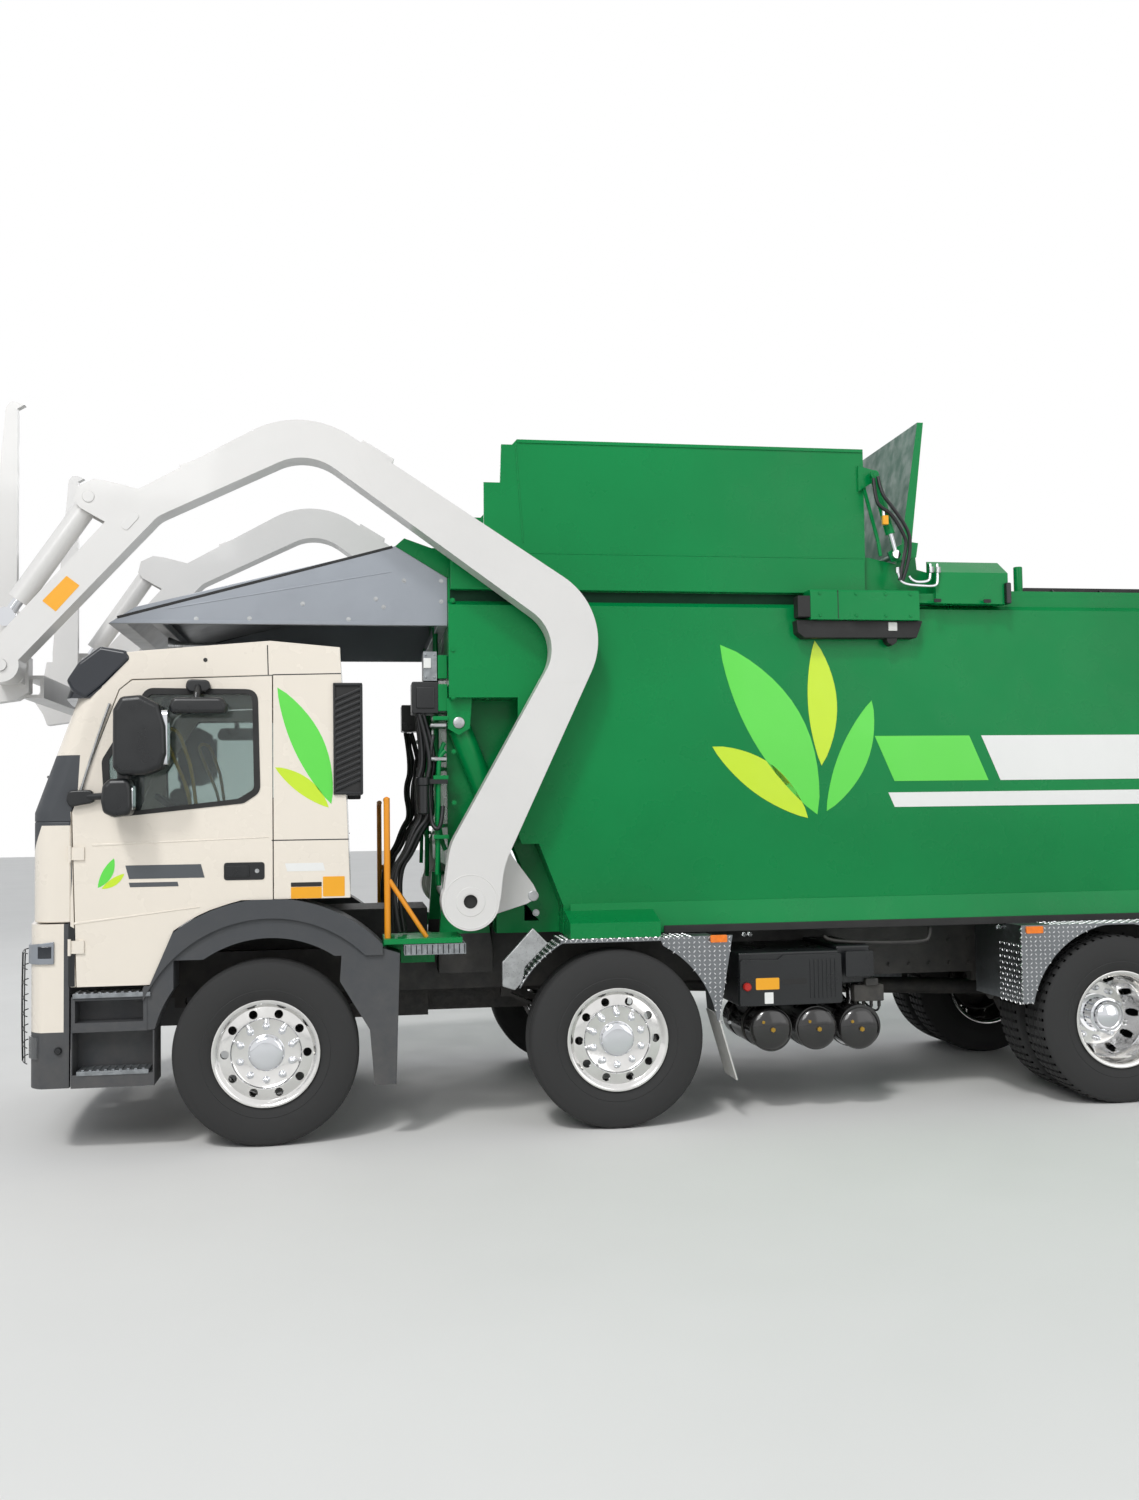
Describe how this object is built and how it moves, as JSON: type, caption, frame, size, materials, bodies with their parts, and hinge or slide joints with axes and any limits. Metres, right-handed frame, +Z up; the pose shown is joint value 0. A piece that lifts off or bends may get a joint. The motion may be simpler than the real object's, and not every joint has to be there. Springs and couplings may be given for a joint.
{
  "type": "front loading garbage truck",
  "caption": "Four-axle garbage truck with front lift arms and forks, a hopper with a folding board, a cab canopy and a sliding packer panel.",
  "frame": {"origin": "on the ground under the middle of the whole truck", "axes": "+X forward, +Y to the left, +Z up"},
  "size_m": [10.29, 2.96, 4.28],
  "materials": {
    "cab_paint": "gloss cream enamel",
    "body_paint": "gloss green enamel",
    "arm_paint": "gloss white enamel",
    "canopy_metal": "silver grey enamel",
    "frame_paint": "black chassis paint",
    "cylinder_paint": "green enamel",
    "chrome_rod": "hard chrome",
    "dark_plastic": "grained dark grey plastic",
    "tank_paint": "gloss black",
    "lamp_lens": "clear lens",
    "glass": "tinted safety glass",
    "seat_fabric": "woven seat cloth",
    "flap_rubber": "moulded rubber",
    "polished_alloy": "polished tread plate",
    "safety_orange": "orange enamel",
    "tyre_rubber": "tyre rubber",
    "wheel_alloy": "polished forged alloy"
  },
  "bodies": {
    "chassis": {"chassis_frame": "frame_paint", "powertrain": "frame_paint", "axles_and_springs": "frame_paint", "cab_shell": "cab_paint", "cab_front_panel": "cab_paint", "windscreen": "glass", "sun_visor": "dark_plastic", "front_bumper": "dark_plastic", "head_lamps": "lamp_lens", "cab_arches": "dark_plastic", "seats": "seat_fabric", "dashboard": "dark_plastic", "air_intakes": "dark_plastic", "canopy": "canopy_metal", "body_shell": "body_paint", "side_boxes": "body_paint", "rubber_stops_and_flaps": "flap_rubber", "fenders": "polished_alloy", "battery_boxes": "dark_plastic", "tanks": "tank_paint", "exhaust": "frame_paint", "arm_towers": "body_paint", "grab_rails": "safety_orange"},
    "lift_arms": {"lift_arms": "arm_paint"},
    "forks": {"forks": "arm_paint"},
    "lid": {"hopper_lid": "body_paint"},
    "tailgate": {"tailgate": "body_paint"},
    "packer": {"packer_panel": "body_paint"},
    "lift_barrels": {"lift_cylinder_barrels": "cylinder_paint"},
    "lift_rods": {"lift_cylinder_rods": "chrome_rod"},
    "fork_barrels": {"fork_cylinder_barrels": "arm_paint"},
    "fork_rods": {"fork_cylinder_rods": "chrome_rod"},
    "lid_barrels": {"lid_cylinder_barrels": "cylinder_paint"},
    "lid_rods": {"lid_cylinder_rods": "chrome_rod"},
    "door_left": {"door_left": "cab_paint", "door_glass_left": "glass", "mirror_left": "dark_plastic"},
    "knuckle_1_left": {"knuckle_1_left": "frame_paint"},
    "wheel_1_left": {"tyre_1_left": "tyre_rubber", "rim_1_left": "wheel_alloy"},
    "knuckle_2_left": {"knuckle_2_left": "frame_paint"},
    "wheel_2_left": {"tyre_2_left": "tyre_rubber", "rim_2_left": "wheel_alloy"},
    "wheel_3_left": {"twin_tyres_3_left": "tyre_rubber", "twin_rims_3_left": "wheel_alloy"},
    "wheel_4_left": {"twin_tyres_4_left": "tyre_rubber", "twin_rims_4_left": "wheel_alloy"},
    "door_right": {"door_right": "cab_paint", "door_glass_right": "glass", "mirror_right": "dark_plastic"},
    "knuckle_1_right": {"knuckle_1_right": "frame_paint"},
    "wheel_1_right": {"tyre_1_right": "tyre_rubber", "rim_1_right": "wheel_alloy"},
    "knuckle_2_right": {"knuckle_2_right": "frame_paint"},
    "wheel_2_right": {"tyre_2_right": "tyre_rubber", "rim_2_right": "wheel_alloy"},
    "wheel_3_right": {"twin_tyres_3_right": "tyre_rubber", "twin_rims_3_right": "wheel_alloy"},
    "wheel_4_right": {"twin_tyres_4_right": "tyre_rubber", "twin_rims_4_right": "wheel_alloy"}
  },
  "joints": [
    {"name": "arm_lift", "type": "hinge", "parent": "chassis", "child": "lift_arms", "pos_m": [2.307, 0, 1.331], "axis": [0, -1, 0], "range_deg": [-37, 60]},
    {"name": "fork_tilt", "type": "hinge", "parent": "lift_arms", "child": "forks", "pos_m": [4.867, 0, 2.683], "axis": [0, -1, 0], "range_deg": [-75, 0]},
    {"name": "lid_hinge", "type": "hinge", "parent": "chassis", "child": "lid", "pos_m": [-0.475, 0, 3.44], "axis": [0, -1, 0], "range_deg": [-97, 0]},
    {"name": "tailgate_hinge", "type": "hinge", "parent": "chassis", "child": "tailgate", "pos_m": [-4.665, 0, 3.25], "axis": [0, 1, 0], "range_deg": [0, 80]},
    {"name": "packer_slide", "type": "slide", "parent": "chassis", "child": "packer", "axis": [-1, 0, 0], "range_m": [0, 1.9]},
    {"name": "door_left_hinge", "type": "hinge", "parent": "chassis", "child": "door_left", "pos_m": [4.501, 1.24, 1.7], "axis": [0, 0, -1], "range_deg": [0, 70]},
    {"name": "door_right_hinge", "type": "hinge", "parent": "chassis", "child": "door_right", "pos_m": [4.501, -1.24, 1.7], "axis": [0, 0, 1], "range_deg": [0, 70]},
    {"name": "steer_1_left", "type": "hinge", "parent": "chassis", "child": "knuckle_1_left", "pos_m": [3.455, 0.93, 0.515], "axis": [0, 0, 1], "range_deg": [-36, 36]},
    {"name": "roll_1_left", "type": "hinge", "parent": "knuckle_1_left", "child": "wheel_1_left", "pos_m": [3.455, 1.1, 0.515], "axis": [0, 1, 0], "continuous": true},
    {"name": "steer_1_right", "type": "hinge", "parent": "chassis", "child": "knuckle_1_right", "pos_m": [3.455, -0.93, 0.515], "axis": [0, 0, 1], "range_deg": [-36, 36]},
    {"name": "roll_1_right", "type": "hinge", "parent": "knuckle_1_right", "child": "wheel_1_right", "pos_m": [3.455, -1.1, 0.515], "axis": [0, 1, 0], "continuous": true},
    {"name": "steer_2_left", "type": "hinge", "parent": "chassis", "child": "knuckle_2_left", "pos_m": [1.46, 0.93, 0.515], "axis": [0, 0, 1], "range_deg": [-24, 24]},
    {"name": "roll_2_left", "type": "hinge", "parent": "knuckle_2_left", "child": "wheel_2_left", "pos_m": [1.46, 1.1, 0.515], "axis": [0, 1, 0], "continuous": true},
    {"name": "steer_2_right", "type": "hinge", "parent": "chassis", "child": "knuckle_2_right", "pos_m": [1.46, -0.93, 0.515], "axis": [0, 0, 1], "range_deg": [-24, 24]},
    {"name": "roll_2_right", "type": "hinge", "parent": "knuckle_2_right", "child": "wheel_2_right", "pos_m": [1.46, -1.1, 0.515], "axis": [0, 1, 0], "continuous": true},
    {"name": "roll_3_left", "type": "hinge", "parent": "chassis", "child": "wheel_3_left", "pos_m": [-1.695, 0.925, 0.515], "axis": [0, 1, 0], "continuous": true},
    {"name": "roll_3_right", "type": "hinge", "parent": "chassis", "child": "wheel_3_right", "pos_m": [-1.695, -0.925, 0.515], "axis": [0, 1, 0], "continuous": true},
    {"name": "roll_4_left", "type": "hinge", "parent": "chassis", "child": "wheel_4_left", "pos_m": [-3.065, 0.925, 0.515], "axis": [0, 1, 0], "continuous": true},
    {"name": "roll_4_right", "type": "hinge", "parent": "chassis", "child": "wheel_4_right", "pos_m": [-3.065, -0.925, 0.515], "axis": [0, 1, 0], "continuous": true},
    {"name": "lift_barrel_swing", "type": "hinge", "parent": "chassis", "child": "lift_barrels", "pos_m": [2.345, 0, 2.374], "axis": [0, -1, 0], "range_deg": [-5.2, 8.3]},
    {"name": "lift_rod_slide", "type": "slide", "parent": "lift_barrels", "child": "lift_rods", "axis": [-0.3652, 0, -0.9309], "range_m": [-0.1974, 0.3188]},
    {"name": "fork_barrel_swing", "type": "hinge", "parent": "lift_arms", "child": "fork_barrels", "pos_m": [4.408, 0, 3.622], "axis": [0, -1, 0], "range_deg": [-0.2, 8.45]},
    {"name": "fork_rod_slide", "type": "slide", "parent": "fork_barrels", "child": "fork_rods", "axis": [0.5604, 0, -0.8282], "range_m": [-0.002, 0.311]},
    {"name": "lid_barrel_swing", "type": "hinge", "parent": "chassis", "child": "lid_barrels", "pos_m": [-0.23, 0, 3.895], "axis": [0, -1, 0], "range_deg": [-12.08, 0.2]},
    {"name": "lid_rod_slide", "type": "slide", "parent": "lid_barrels", "child": "lid_rods", "axis": [-0.254, 0, -0.9672], "range_m": [-0.002, 0.1456]}
  ],
  "couplings": [
    {"joint": "steer_1_right", "follows": "steer_1_left", "ratio": 1},
    {"joint": "steer_2_left", "follows": "steer_1_left", "ratio": 0.66},
    {"joint": "steer_2_right", "follows": "steer_1_left", "ratio": 0.66},
    {"joint": "lift_barrel_swing", "follows": "arm_lift", "ratio": 0.135},
    {"joint": "lift_rod_slide", "follows": "arm_lift", "m_per_rad": 0.30252},
    {"joint": "fork_barrel_swing", "follows": "fork_tilt", "ratio": -0.11},
    {"joint": "fork_rod_slide", "follows": "fork_tilt", "m_per_rad": -0.23606},
    {"joint": "lid_barrel_swing", "follows": "lid_hinge", "ratio": 0.1225},
    {"joint": "lid_rod_slide", "follows": "lid_hinge", "m_per_rad": -0.084798}
  ]
}
